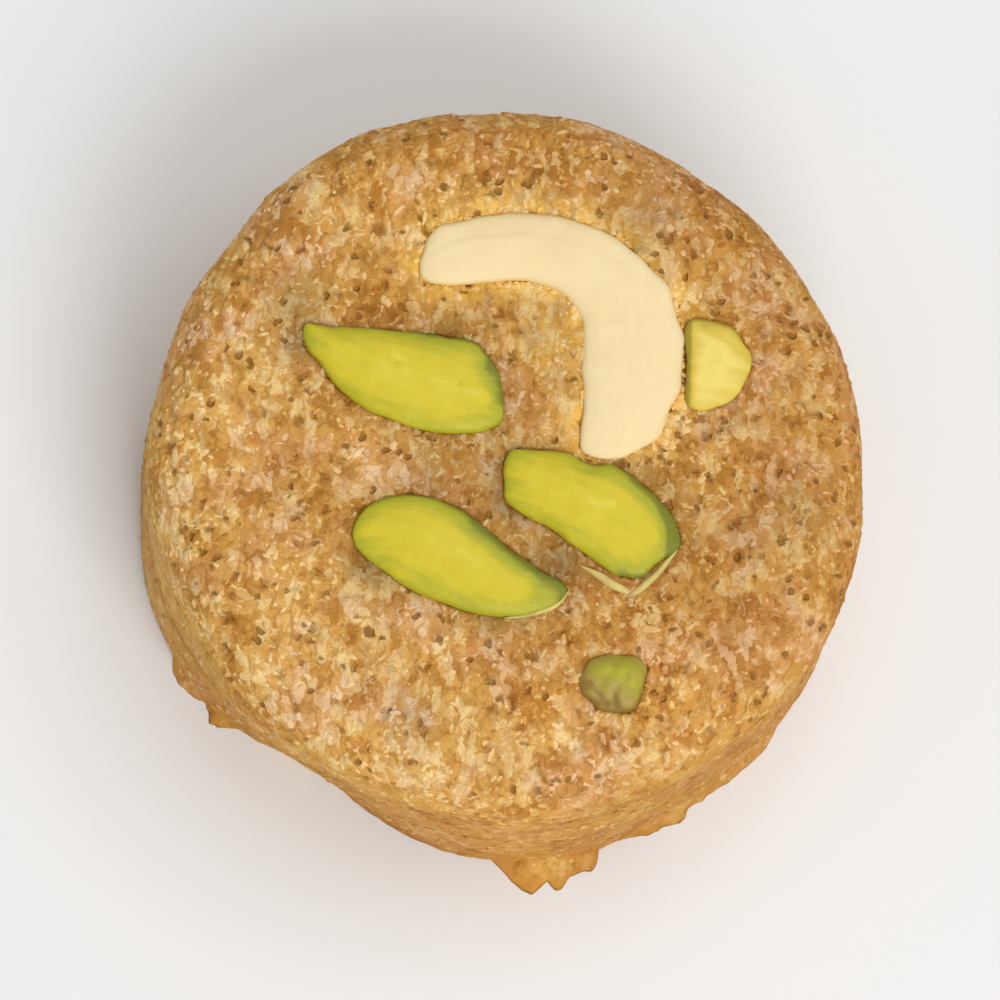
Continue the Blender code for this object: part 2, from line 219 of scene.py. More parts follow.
# Patches of painted light and shade on the crumb: middle in plan, radius, and how much
# brighter, or darker below 0.
Patch = namedtuple("Patch", "x y radius amount")
PATCHES = in_metres(Patch, 3, (
    (3.6, -8.0, 2.2, -0.4), (0.2, -4.0, 1.4, -0.3), (20.6, -3.2, 2.4, -0.2),
    (17.5, -6.0, 2.0, -0.15), (-15.8, 11.6, 2.4, -0.3), (-15.2, 8.0, 1.5, -0.3),
    (-10.0, -8.3, 1.9, -0.4), (-4.7, 9.1, 1.7, -0.3), (-0.3, -1.6, 2.2, -0.3),
    (-5.2, -1.2, 2.6, -0.2), (-7.2, -19.4, 2.2, -0.25), (9.8, 18.6, 2.8, -0.2),
    (10.6, -1.4, 1.6, -0.2), (9.3, 15.2, 1.4, -0.2), (-1.2, -12.1, 1.5, -0.25),
    (2.2, -19.4, 2.6, 0.2), (11.6, -17.2, 2.6, 0.2), (-10.2, 18.6, 2.4, 0.15),
    (-2.6, 11.2, 1.7, -0.13), (0.6, 10.9, 1.7, -0.13), (3.2, 8.8, 1.7, -0.13),
    (4.0, 5.2, 1.7, -0.13), (2.5, -29.0, 3.5, 0.2),
))
# The direction in plan in which the crumb gets browner, and the paler place in the
# cashew's bend.
BROWNER = np.array([0.9, 0.3])
BEND, BEND_RADIUS = mm(1.5, 6.8), 3.5 * MM
# How wide the crumb is soaked beside the cashew, and how much wider inside its bend.
SOAK_WIDTH, SOAK_MORE = 1.7 * MM, 1.4 * MM
SOAK_BEND, SOAK_BEND_RADIUS = mm(1.5, 8.5), 5.0 * MM
SOAK_TOAST = 0.55
# How the crumb dips beside every nut, takes a painted shadow at a pistachio's edge and
# painted shade beside the large halves: how much of each, and over what width.
DIP, DIP_WIDTH = 0.10 * MM, 1.1 * MM
EDGE_SHADOW, EDGE_SHADOW_WIDTH = 0.6, 0.3 * MM
HALF_SHADE, HALF_SHADE_WIDTH = 0.17, 1.5 * MM
# Slopes from upright between which the crumb turns from top to wall, for the colour and
# for the relief.
WALL_SLOPES = (0.9, 1.5)
RELIEF_SLOPES = (0.3, 1.1)
CRUMB_BUMP = 0.22 * MM
# How near a nut's ends its mesh rings begin, as a share of its length, and how many
# places along it make its outline.
END_SHARE = 0.002
OUTLINE_PLACES = 70
# The pocket under each nut: its depth, and how far inside the outline and over what
# width its side falls.
POCKET_DEPTH = 3.2 * MM
POCKET_START = -0.10 * MM
POCKET_SLOPE = 0.45 * MM
# How far from a nut its distance is worked out, and how far it changes the crumb.
NUT_REACH = 4.0 * MM
NUT_NEAR = 3.9 * MM


# Settings ---------------------------------------------------------------------------


def colour(name, description, default, most=1.0):
    """A setting that holds a colour."""
    return FloatVectorProperty(
        name=name, description=description, default=default,
        size=3, min=0.0, max=most, subtype="COLOR")


def length(name, description, millimetres):
    """A setting that holds a length."""
    return FloatProperty(
        name=name, description=description, default=millimetres * MM,
        unit="LENGTH", precision=6)


def whole(name, description, default, least=1):
    """A setting that holds a whole number."""
    return IntProperty(name=name, description=description, default=default, min=least)


class CakeSettings(bpy.types.PropertyGroup):
    """Sizes and colours of the cake of crumb."""

    top_cells: whole("Cells across", "Mesh cells across the top", 200, least=8)
    wall_rows: whole("Wall rows", "Mesh rows down the wall", 52, least=4)
    lip_rows: whole("Lip rows", "Mesh rows down the lip at the foot", 12, least=2)
    lump_height: length("Lump height", "Height of the broad lumps", 0.20)
    grain_size: length("Grain size", "Size of a pressed grain", 1.5)
    grain_height: length("Grain height", "Height of a pressed grain", 0.12)
    pit_depth: length("Pit depth", "Depth of the pit where a grain is missing", 0.32)
    streak_height: length("Streak height", "Height of the drag lines round the wall", 0.12)
    # This brown paints shade into the pits and the gaps between grains, over the crumb's own
    # dark brown, and the thin shadow at the pistachios' edges.
    dark: colour("Dark crumb", "Brown of the hollows between grains", (0.28, 0.10, 0.008))
    caramel: colour("Caramel crumb", "Brown of the jaggery in the crumb", (0.56, 0.255, 0.042))
    middle: colour("Crumb", "Tan of most of the crumb", (0.77, 0.425, 0.102))
    light: colour("Light crumb", "Cream of the ground sesame", (0.96, 0.695, 0.31))
    soaked: colour(
        "Soaked crumb", "Golden orange of the crumb beside the cashew", (0.94, 0.55, 0.103))
    rosy: colour(
        "Rosy share", "What is left of each colour in the pink patches", (1.0, 0.97, 1.3),
        most=2.0)
    # The browned share also paints shade on the wall, darker towards the foot.
    browned: colour(
        "Toasted share", "What is left of each colour in browner crumb", (0.77, 0.67, 0.56))
    # Painted warm bounce light and shade on the wall: less blue and a little darker.
    wall_painted_light: colour("Wall share", "What is left of each colour on the wall", (0.96, 0.94, 0.76))


class CrumbSettings(bpy.types.PropertyGroup):
    """Numbers and sizes of the loose crumbs pressed to the cake."""

    tan_count: whole("Tan crumbs", "Number of tan crumbs", 3600)
    brown_count: whole("Brown crumbs", "Number of brown crumbs", 1500)
    pale_count: whole("Pale crumbs", "Number of pale sesame crumbs", 2600)
    smallest: length("Smallest", "Radius of the smallest crumb", 0.14)
    largest: length("Largest", "Radius of the largest crumb", 0.50)
    flatness: FloatProperty(
        name="Flatness", description="Thickness of a crumb as a share of its width",
        default=0.38, min=0.1, max=1.0)


class NutSettings(bpy.types.PropertyGroup):
    """Finish of the nuts."""

    rings: whole("Rings", "Mesh rings along each nut", 110, least=8)
    section: whole("Section", "Mesh points round each nut", 64, least=8)
    squareness: FloatProperty(
        name="Squareness", description="Exponent of the dome: lower is flatter on top",
        default=0.72, min=0.3, max=1.0)
    cream: colour("Cashew", "Cream of the cashew", (0.93, 0.745, 0.42))
    # Partly painted highlight: the pistachios' paler streaks and marks take this colour.
    straw_and_highlight: colour(
        "Pistachio streak", "Straw yellow of the streaks on the face", (0.78, 0.65, 0.07))
    lime: colour("Pistachio", "Yellow of the pistachio's face", (0.69, 0.555, 0.025))
    leaf: colour(
        "Pistachio flank", "Yellow-green round the pistachio's face", (0.44, 0.43, 0.022))
    green: colour("Pistachio edge", "Green of the pistachio's edge", (0.21, 0.22, 0.02))
    pale_lime: colour(
        "Pale pistachio", "Pale yellow of the cut pistachio end", (0.89, 0.70, 0.17))
    dull: colour("Dull pistachio", "Dull green of the sunken piece", (0.41, 0.34, 0.045))
    skin: colour("Skin", "Pale papery skin", (0.68, 0.52, 0.17))


class StageSettings(bpy.types.PropertyGroup):
    """Floor, lights and camera."""

    floor: colour("Floor", "Colour of the plain floor", (0.86, 0.86, 0.855))
    key_power: FloatProperty(
        name="Key light", description="Power of the soft light at the front",
        default=3.9, unit="POWER")
    fill_power: FloatProperty(
        name="Fill light", description="Power of the wide light overhead",
        default=2.7, unit="POWER")
    sky: FloatProperty(
        name="Room light", description="Strength of the even light of the room", default=0.46)
    distance: FloatProperty(
        name="Camera distance", description="From the middle of the sweet to the camera",
        default=0.6, unit="LENGTH")
    view_width: length("View width", "Width of what the camera takes in", 74)


# Numbers and noise ------------------------------------------------------------------


def hashed(cells, seed):
    """A random number from 0 to 1 for each whole-number cell, mixed from its coordinates."""
    mixed = (cells[..., 0] * 73856093) ^ (cells[..., 1] * 19349663) ^ (cells[..., 2] * 83492791)
    mixed = (mixed ^ (seed * 2654435761)) & 0xFFFFFFFF
    for _ in range(2):
        mixed = ((mixed ^ (mixed >> 16)) * 0x45D9F3B) & 0xFFFFFFFF
    return ((mixed ^ (mixed >> 16)) & 0xFFFFFF) / 0x1000000


def soft_noise(points, size, seed):
    """Noise from -1 to 1: a random value at each lattice point, and 3t^2 - 2t^3 between them."""
    scaled = points / size
    base = np.floor(scaled).astype(np.int64)
    part = scaled - base
    part = part * part * (3.0 - 2.0 * part)
    total = np.zeros(len(points))
    for corner in np.ndindex(2, 2, 2):
        weight = np.prod(np.where(corner, part, 1.0 - part), axis=-1)
        total += weight * hashed(base + np.array(corner), seed)
    return 2.0 * total - 1.0


def packed_grains(points, size, seed):
    """Distance in sizes to the nearest of randomly packed middles, and its random number."""
    scaled = points / size
    base = np.floor(scaled).astype(np.int64)
    nearest = np.full(len(points), 9.0)
    own = np.zeros(len(points))
    for offset in np.ndindex(3, 3, 3):
        cell = base + np.array(offset) - 1
        middle = cell + np.stack([hashed(cell, seed + axis) for axis in range(3)], axis=-1)
        distance = np.linalg.norm(scaled - middle, axis=-1)
        closer = distance < nearest
        own = np.where(closer, hashed(cell, seed + 3), own)
        nearest = np.where(closer, distance, nearest)
    return nearest, own


def ramp(values, low, high):
    """0 below low, 1 above high, and a smooth 3t^2 - 2t^3 between."""
    share = np.clip((values - low) / (high - low), 0.0, 1.0)
    return share * share * (3.0 - 2.0 * share)


def falloff(distance, width):
    """1 at distance 0, falling beside it by exp(-(distance / width)^2)."""
    return np.exp(-((distance / width) ** 2))


def outside(distance, width):
    """The same falloff outside an outline, where distance is above 0, and 1 inside it."""
    return falloff(np.clip(distance, 0.0, None), width)


def plan_gap(points, x, y):
    """How far the points lie from x, y in plan."""
    return np.linalg.norm(points[..., :2] - (x, y), axis=-1)


def level_directions(azimuth):
    """Level unit vectors at these azimuths."""
    return np.stack([np.cos(azimuth), np.sin(azimuth), np.zeros_like(azimuth)], axis=-1)


# Meshes -----------------------------------------------------------------------------


def ring_faces(rings, around, first=0):
    """Quads between rings of points that follow each other, each ring closed on itself."""
    start = first + around * np.arange(rings - 1)[:, None]
    here = np.arange(around)
    after = (here + 1) % around
    quads = [start + here, start + after, start + around + after, start + around + here]
    return np.stack(quads, axis=-1).reshape(-1, 4)


def fan_faces(ring, pole):
    """Triangles from each side of a ring to one pole."""
    return np.stack([ring, np.roll(ring, -1), np.full(len(ring), pole)], axis=-1)


def enclosed(points, faces):
    """Signed volume inside the faces, from the tetrahedra that they make with the origin."""
    total = 0.0
    for group in faces:
        for k in range(1, group.shape[1] - 1):
            a, b, c = points[group[:, 0]], points[group[:, k]], points[group[:, k + 1]]
            total += np.einsum("ij,ij->i", a, np.cross(b, c)).sum() / 6.0
    return total


def new_piece(name, points, faces, material, smooth=True, uv=None, **masks):
    """An object of these points and faces, turned to face out, with UVs and masks per point."""
    if enclosed(points, faces) < 0.0:
        faces = [group[:, ::-1] for group in faces]
    loops = np.concatenate([group.ravel() for group in faces])
    sizes = np.concatenate([np.full(len(group), group.shape[1]) for group in faces])
    mesh = bpy.data.meshes.new(name)
    mesh.vertices.add(len(points))
    mesh.vertices.foreach_set("co", np.ascontiguousarray(points, dtype=np.float32).ravel())
    mesh.loops.add(len(loops))
    mesh.loops.foreach_set("vertex_index", loops.astype(np.int32))
    mesh.polygons.add(len(sizes))
    starts = np.concatenate([[0], np.cumsum(sizes)[:-1]])
    mesh.polygons.foreach_set("loop_start", starts.astype(np.int32))
    mesh.polygons.foreach_set("use_smooth", np.full(len(sizes), smooth))
    mesh.update(calc_edges=True)
    if uv is not None:
        layer = mesh.uv_layers.new(name="UVMap")
        layer.data.foreach_set("uv", uv[loops].astype(np.float32).ravel())
    for mask, values in masks.items():
        layer = mesh.attributes.new(mask, "FLOAT", "POINT")
        layer.data.foreach_set("value", np.asarray(values, dtype=np.float32))
    mesh.materials.append(material)
    obj = bpy.data.objects.new(name, mesh)
    bpy.context.scene.collection.objects.link(obj)
    return obj


# The form of the cake ---------------------------------------------------------------


def turned(azimuth, centre):
    """The angle from centre to azimuth, between -pi and pi."""
    return (azimuth - centre + math.pi) % math.tau - math.pi


def lip_reach(azimuth):
    """How far the lip stands out: each flake's reach * (1 - share^power), with teeth."""
    around = 26.0 * MM * level_directions(azimuth)
    reach = 0.35 * MM * np.clip(soft_noise(around, 4.0 * MM, 41), 0.0, 1.0)
    for flake in FLAKES:
        share = np.minimum(np.abs(turned(azimuth, flake.peak)) / flake.spread, 1.0)
        reach = reach + flake.reach * (1.0 - share**flake.power)
    teeth = 0.22 * MM * soft_noise(around, 0.9 * MM, 42)
    teeth = teeth + 0.12 * MM * soft_noise(around, 0.45 * MM, 43)
    return reach + teeth * ramp(reach, 0.1 * MM, 0.8 * MM)


def wall_radius(azimuth, height):
    """The cake's radius: a circle with lobes, wider at the foot, less a break, plus the lip."""
    low = 1.0 - height / THICKNESS
    radius = ROUND_RADIUS + FOOT_SPREAD * low**2
    for lobe in LOBES:
        radius = radius + lobe.size * np.cos(lobe.waves * turned(azimuth, lobe.peak))
    radius = radius - BREAK_DEPTH * low * falloff(turned(azimuth, BREAK_PEAK), BREAK_SPREAD)
    return radius + lip_reach(azimuth) * np.clip(1.0 - height / LIP_HEIGHT, 0.0, 1.0) ** 2


def top_height(radius):
    """The height of the cake's top at this distance from its middle: a shallow parabola."""
    return THICKNESS - CROWN * (radius / ROUND_RADIUS) ** 2


def cake_grid(cells, wall_rows, lip_rows):
    """The cake without relief: a square grid mapped to the top's disc, and rings for the wall.

    A square's point (x, y) goes to the share max(|x|, |y|) of the way out, at an azimuth in
    proportion to the smaller coordinate over the larger, which keeps all cells even. The way
    out runs over the flat top and then over the shoulder's quarter circle. Returns points,
    the directions that relief raises them in, the slope of each direction from upright, and
    the faces.
    """
    line = np.linspace(-1.0, 1.0, cells + 1)
    x, y = np.meshgrid(line, line, indexing="ij")
    wide = np.abs(x) >= np.abs(y)
    larger = np.where(wide, x, y)
    ratio = np.where(wide, y, x) / np.where(larger == 0.0, 1.0, larger)
    azimuth = np.where(wide, math.pi / 4 * ratio, math.pi / 2 * (1.0 - ratio / 2))
    azimuth = azimuth + math.pi * (larger < 0.0)
    share = np.abs(larger)
    level = top_height(ROUND_RADIUS)
    flat = wall_radius(azimuth.ravel(), level - SHOULDER).reshape(azimuth.shape) - SHOULDER
    along = share * (flat + SHOULDER * math.pi / 2)
    slope = np.clip((along - flat) / SHOULDER, 0.0, math.pi / 2)
    radius = np.minimum(along, flat) + SHOULDER * np.sin(slope)
    height = np.where(along <= flat, top_height(along), level - SHOULDER * (1.0 - np.cos(slope)))

    index = np.arange((cells + 1) ** 2).reshape(cells + 1, cells + 1)
    quads = [index[:-1, :-1], index[:-1, 1:], index[1:, 1:], index[1:, :-1]]
    quads = np.stack(quads, axis=-1).reshape(-1, 4)
    rim = np.concatenate([index[:-1, 0], index[-1, :-1], index[:0:-1, -1], index[0, :0:-1]])
    wall = np.linspace(level - SHOULDER, LIP_HEIGHT, wall_rows + 1)[1:]
    lip = np.linspace(LIP_HEIGHT, 0.0, lip_rows + 1)[1:]
    heights = np.concatenate([wall, lip])
    around = len(rim)
    wall_azimuth = np.tile(azimuth.ravel()[rim], len(heights))
    wall_height = np.repeat(heights, around)
    azimuth = np.concatenate([azimuth.ravel(), wall_azimuth, [0.0]])
    height = np.concatenate([height.ravel(), wall_height, [0.0]])
    radius = np.concatenate([radius.ravel(), wall_radius(wall_azimuth, wall_height), [0.0]])
    slope = np.concatenate([slope.ravel(), np.full(len(wall_height) + 1, math.pi / 2)])
    outward = level_directions(azimuth)
    upward = np.array([0.0, 0.0, 1.0])
    points = outward * radius[:, None] + upward * height[:, None]
    directions = outward * np.sin(slope)[:, None] + upward * np.cos(slope)[:, None]
    directions[-1] = 0.0
    first = (cells + 1) ** 2
    below = first + np.arange(around)
    join = np.stack([rim, np.roll(rim, -1), np.roll(below, -1), below], axis=-1)
    foot = first + around * (len(heights) - 1) + np.arange(around)
    rows = ring_faces(len(heights), around, first)
    return points, directions, slope, [quads, join, rows, fan_faces(foot, len(points) - 1)]


def toasting(points):
    """How brown the crumb is, from 0 to 1: more to the right, less in the cashew's bend."""
    across = points[:, :2] @ BROWNER / ROUND_RADIUS
    bend = falloff(plan_gap(points, *BEND), BEND_RADIUS)
    brown = 0.66 + 0.5 * across + 0.35 * soft_noise(points, 5.0 * MM, 60) - 0.45 * bend
    return np.clip(brown, 0.0, 1.0)


def patchy(points):
    """Sum over the patches of their amount, falling off round each by its radius in plan."""
    total = np.zeros(len(points))
    for patch in PATCHES:
        total += patch.amount * falloff(plan_gap(points, patch.x, patch.y), patch.radius)
    return total


def crumb_relief(settings, points, slope, browned):
    """Height of the crumb's relief at each point, and how hollow it is there from 0 to 1.

    Broad lumps, domes over two sizes of packed grain, grains that are missing and leave
    pits, more of them where it is browner, and drag lines round the wall. What stands
    high on the pressed top is flattened.
    """
    size = settings.grain_size
    warp = np.stack([soft_noise(points, 0.6 * size, seed) for seed in (5, 6, 7)], axis=-1)
    places = points + 0.22 * size * warp
    coarse, own = packed_grains(places, size, 10)
    fine, own_fine = packed_grains(places, 0.5 * size, 20)
    domes = (0.4 + 0.6 * own) * (0.6 - coarse**2)
    domes = domes + 0.6 * (0.4 + 0.6 * own_fine) * (0.6 - fine**2)
    on_top = 1.0 - ramp(slope, *RELIEF_SLOPES)
    domes = np.where(domes > 0.0, (1.0 - 0.6 * on_top) * domes, domes)
    missing = 0.92 - 0.10 * browned
    pits = ramp(own - missing, 0.0, 0.05) * ramp(0.2 + 0.44 * own_fine - coarse, 0.0, 0.28)
    small = ramp(own_fine - missing, 0.0, 0.05) * ramp(0.3 + 0.4 * own - fine, 0.0, 0.3)
    pits = np.maximum(0.85 * pits, 0.65 * small) * (0.6 + 0.4 * on_top)
    azimuth = np.arctan2(points[:, 1], points[:, 0])
    level = points[:, 2] + 0.6 * MM * np.cos(2.0 * azimuth + 1.0)
    line = 4.0 * MM * level_directions(azimuth)
    line[:, 2] = level
    streaks = soft_noise(line, 0.9 * MM, 30) + 0.4 * soft_noise(line, 0.45 * MM, 31)
    lumps = soft_noise(points, 6.0 * MM, 1) + 0.5 * soft_noise(points, 2.5 * MM, 2)
    height = settings.lump_height * lumps
    height = height + settings.grain_height * (1.2 - 0.5 * on_top) * domes
    height = height - settings.pit_depth * pits
    height = height + settings.streak_height * streaks * (1.0 - on_top)
    gaps = 0.4 * ramp(coarse, 0.55, 0.85) + 0.25 * ramp(fine, 0.55, 0.85)
    # The hollow share paints shade into the pits and the gaps between grains.
    return height, np.clip(pits * 1.1 + gaps * (0.3 + 0.7 * on_top), 0.0, 1.0)


# The form of the nuts ---------------------------------------------------------------


def bezier(controls, shares):
    """Points of the Bezier curve of these controls: sums of binomial * s^i * (1 - s)^(n - i)."""
    order = len(controls) - 1
    weights = [
        math.comb(order, i) * shares**i * (1.0 - shares) ** (order - i) for i in range(order + 1)
    ]
    return np.stack(weights, axis=-1) @ controls


def spine_points(nut, shares):
    """Points and unit directions of a nut's middle curve."""
    controls = np.array(nut.spine)
    along = bezier(np.diff(controls, axis=0), shares)
    return bezier(controls, shares), along / np.linalg.norm(along, axis=-1)[:, None]


def nut_widths(nut, shares):
    """How full a nut is along it, sqrt(1 - |2 share - 1|^bluntness), and its half width."""
    blunt = np.where(shares < 0.5, nut.ends[0], nut.ends[1])
    fullness = np.sqrt(1.0 - np.abs(2.0 * shares - 1.0) ** blunt)
    return fullness, bezier(np.array(nut.half_widths), shares) * fullness


def nut_shares(count):
    """Places along a nut, closer together near its ends by a cosine."""
    bends = 0.5 - 0.5 * np.cos(np.linspace(0.0, math.pi, count))
    return END_SHARE + (1.0 - 2.0 * END_SHARE) * bends


def pulled(nut, places):
    """Places in plan moved by the nut's corners, each by its push, falling off round it."""
    moved = places.copy()
    for corner in CORNERS.get(nut.node, ()):
        share = falloff(plan_gap(places, corner.x, corner.y), CORNER_REACH)
        moved += share[..., None] * (corner.push_x, corner.push_y)
    return moved


def mark_strength(mark, places):
    """1 on a mark's line in plan, falling off beside it by the mark's width."""
    start = np.array([mark.x, mark.y])
    along = np.array([mark.to_x, mark.to_y]) - start
    share = np.clip(((places - start) @ along) / (along @ along), 0.0, 1.0)
    gap = np.linalg.norm(places - start - share[..., None] * along, axis=-1)
    return falloff(gap, mark.width)


def marked(nut, places, field):
    """Sum over a nut's marks of their strength at these places times one of their values."""
    total = np.zeros(places.shape[:-1])
    for mark in MARKS.get(nut.node, ()):
        total += mark_strength(mark, places) * getattr(mark, field)
    return total


def nut_outline(nut):
    """The closed outline of a nut in plan."""
    shares = nut_shares(OUTLINE_PLACES)
    places, along = spine_points(nut, shares)
    across = np.stack([-along[:, 1], along[:, 0]], axis=-1)
    reach = across * nut_widths(nut, shares)[1][:, None]
    return pulled(nut, np.concatenate([places + reach, (places - reach)[::-1]]))


def outline_distance(outline, places):
    """Distance in plan from each place to a closed outline, negative where it is inside."""
    ends = np.roll(outline, -1, axis=0)
    along = ends - outline
    offset = places[:, None] - outline
    share = np.clip((offset * along).sum(-1) / (along**2).sum(-1), 0.0, 1.0)
    gap = np.linalg.norm(offset - share[..., None] * along, axis=-1).min(axis=1)
    level = places[:, 1][:, None]
    crosses = (outline[:, 1] > level) != (ends[:, 1] > level)
    rise = np.where(along[:, 1] == 0.0, 1.0, along[:, 1])
    meets = outline[:, 0] + (level - outline[:, 1]) / rise * along[:, 0]
    inside = (crosses & (places[:, 0][:, None] < meets)).sum(axis=1) % 2 == 1
    return np.where(inside, -gap, gap)


def nut_distance(nut, points):
    """Distance in plan from each point to a nut's outline, or NUT_REACH where it is more."""
    outline = nut_outline(nut)
    low, high = outline.min(axis=0) - NUT_REACH, outline.max(axis=0) + NUT_REACH
    near = np.all((points[:, :2] > low) & (points[:, :2] < high), axis=-1)
    near &= points[:, 2] > THICKNESS - SHOULDER
    distance = np.full(len(points), NUT_REACH)
    distance[near] = np.minimum(outline_distance(outline, points[near, :2]), NUT_REACH)
    return distance


def nut_surface(nut, rings, section, squareness, rough, seed, shape=None):
    """Points round a nut in rings, its faces, its UVs, and how far inside its outline each is.

    Each section is a superellipse: |side| and |up| to the power of the squareness above the
    widest level, an ellipse below it. Corners move the points in plan. Shape, of the share
    along and the side, adds to the height where it is above that level, and marks take from
    it. Noise of two sizes roughens it.
    """
    shares = nut_shares(rings)
    centres, along = spine_points(nut, shares)
    across = np.stack([-along[:, 1], along[:, 0]], axis=-1)
    fullness, half_width = nut_widths(nut, shares)
    angle = np.linspace(-math.pi / 2, 1.5 * math.pi, section, endpoint=False)[None, :]
    side, up = np.cos(angle), np.sin(angle)
    power = np.where(up > 0.0, squareness, 1.0)
    side = np.copysign(np.abs(side) ** power, side)
    out = side * half_width[:, None]
    top = (nut.rise + nut.sink) * fullness[:, None] ** 0.5
    tall = np.where(up > 0.0, top, nut.depth * fullness[:, None] ** 0.7)
    level = top_height(np.linalg.norm(centres, axis=-1))[:, None] - nut.sink
    rise = np.copysign(np.abs(up) ** power, up) * tall
    plan = pulled(nut, centres[:, None] + out[..., None] * across[:, None])
    added = -marked(nut, plan, "depth")
    if shape:
        added = added + shape(shares[:, None], side)
    rise = rise + added * np.clip(up, 0.0, 1.0) * fullness[:, None]
    points = np.concatenate([plan, (level + rise)[..., None]], axis=-1).reshape(-1, 3)
    bumps = soft_noise(points, 1.6 * MM, seed) + 0.5 * soft_noise(points, 0.6 * MM, seed + 1)
    points[:, 2] += rough * bumps
    sway = np.stack([soft_noise(points, 1.1 * MM, seed + k) for k in (2, 3)], axis=-1)
    points[:, :2] += 1.6 * rough * sway
    poles = np.stack([points[:section].mean(axis=0), points[-section:].mean(axis=0)])
    whole_length = np.linalg.norm(np.diff(centres, axis=0), axis=-1).sum() / MM
    down = np.broadcast_to(shares[:, None] * whole_length, out.shape)
    uv = np.stack([down, out / MM], axis=-1).reshape(-1, 2)
    uv = np.concatenate([uv, [[0.0, 0.0], [whole_length, 0.0]]])
    points = np.concatenate([points, poles])
    count = rings * section
    first = np.arange(section)
    faces = [
        ring_faces(rings, section),
        fan_faces(first[::-1], count),
        fan_faces(count - section + first, count + 1),
    ]
    inset = -outline_distance(nut_outline(nut), points[:, :2])
    return points, faces, uv, inset


# Shader nodes -----------------------------------------------------------------------


def set_inputs(node, values):
    """Links these inputs of a node from sockets, or sets them to values."""
    for name, value in values.items():
        if isinstance(value, bpy.types.NodeSocket):
            node.id_data.links.new(value, node.inputs[name])
        else:
            node.inputs[name].default_value = value


def add_node(tree, kind, inputs=None, **settings):
    """A node with these settings and inputs."""
    node = tree.nodes.new(kind)
    for name, value in settings.items():
        setattr(node, name, value)
    set_inputs(node, inputs or {})
    return node


def tree_of(*values):
    """The tree of the first socket among these values."""
    return next(value.id_data for value in values if isinstance(value, bpy.types.NodeSocket))


def maths(operation, *values, kind="ShaderNodeMath"):
    """One maths node's result from these sockets and numbers."""
    node = add_node(tree_of(*values), kind, dict(enumerate(values)), operation=operation)
    return node.outputs[0]


def vectors(operation, *values):
    """The same for vectors."""
    return maths(operation, *values, kind="ShaderNodeVectorMath")


def plus(*values):
    """The sum of these sockets and numbers."""
    return reduce(partial(maths, "ADD"), values)


def times(*values):
    """The product of these sockets and numbers."""
    return reduce(partial(maths, "MULTIPLY"), values)


def mixed(share, a, b, blend="MIX"):
    """A colour share of the way from a to b."""
    ends = {0: share, 6: a, 7: b}
    node = add_node(
        tree_of(share, a, b), "ShaderNodeMix", ends, data_type="RGBA", blend_type=blend)
    return node.outputs[2]


def noise(vector, scale, detail=2.0, roughness=0.5):
    """A noise node, with values and colours from 0 to 1."""
    ends = {"Vector": vector, "Scale": scale, "Detail": detail, "Roughness": roughness}
    return add_node(tree_of(vector), "ShaderNodeTexNoise", ends)


def cells(vector, scales, turn):
    """Distance to the middle of the nearest cell, and that cell's random number."""
    tree = tree_of(vector)
    ends = {"Vector": vector, "Rotation": (0.0, 0.0, turn), "Scale": scales}
    placed = add_node(tree, "ShaderNodeMapping", ends)
    node = add_node(tree, "ShaderNodeTexVoronoi", {"Vector": placed.outputs[0], "Scale": 1.0})
    own = add_node(tree, "ShaderNodeSeparateColor", {0: node.outputs["Color"]})
    return node.outputs["Distance"], own.outputs[0]


def centred(value, size):
    """A value from 0 to 1, moved to lie about 0 and scaled."""
    return maths("MULTIPLY_ADD", value, size, -0.5 * size)


def spread(value, low, high, to_low=0.0, to_high=1.0):
    """A value stretched from low..high to to_low..to_high and held there."""
    ends = dict(enumerate((value, low, high, to_low, to_high)))
    node = add_node(
        tree_of(value), "ShaderNodeMapRange", ends, interpolation_type="SMOOTHSTEP")
    return node.outputs[0]


def mask(tree, name):
    """A mask that a piece carries at its points."""
    node = add_node(
        tree, "ShaderNodeAttribute", attribute_name=name, attribute_type="GEOMETRY")
    return node.outputs["Fac"]


def rgba(colour):
    """A colour with full alpha."""
    return (*colour, 1.0)


def new_group(name, **inputs):
    """A group with these inputs by kind, its input sockets and its output node.

    Every group gives a colour, a roughness and a height for the bump.
    """
    group = bpy.data.node_groups.new(name, "ShaderNodeTree")
    for kind, labels in inputs.items():
        for label in labels:
            group.interface.new_socket(label, in_out="INPUT", socket_type="NodeSocket" + kind)
    for label, kind in (("Color", "Color"), ("Roughness", "Float"), ("Height", "Float")):
        group.interface.new_socket(label, in_out="OUTPUT", socket_type="NodeSocket" + kind)
    given, made = group.nodes.new("NodeGroupInput"), group.nodes.new("NodeGroupOutput")
    return group, given.outputs, made


# Cells of the crumb: how many to a metre along three axes, and the axes' turn.
Cells = namedtuple("Cells", "scales turn")
GRAIN_CELLS = Cells((700.0, 700.0, 700.0), 0.0)
FLECK_CELLS = Cells((1500.0, 700.0, 1500.0), 0.7)
BIT_CELLS = Cells((1900.0, 850.0, 1900.0), -0.9)
PIT_CELLS = Cells((1050.0, 1050.0, 1050.0), 0.3)
# How far the cells are warped, and how the wall's streaks are stretched.
WARP = 0.9 * MM
STREAK_STRETCH = (0.16, 0.16, 2.0)
# How much each part adds to the crumb's shade, and to the height of its bump.
SHADES = {"grain": 0.4, "fleck": 0.30, "bit": 0.24, "dust": 0.24, "patch": 1.15, "streak": 0.7}
HEIGHTS = {"grain": -0.5, "fleck": -0.7, "pit": -1.0, "dust": 0.5, "streak": 0.8}
CRUMB_COLOURS = ("Dark", "Caramel", "Middle", "Light", "Soaked", "Browned", "Wall_painted_light", "Rosy")
# The masks that the cake and its loose crumbs carry, by input.
CRUMB_MASKS = {"Soaking": "soaking", "Browning": "toasting", "Wall": "wall", "Bright": "patch"}


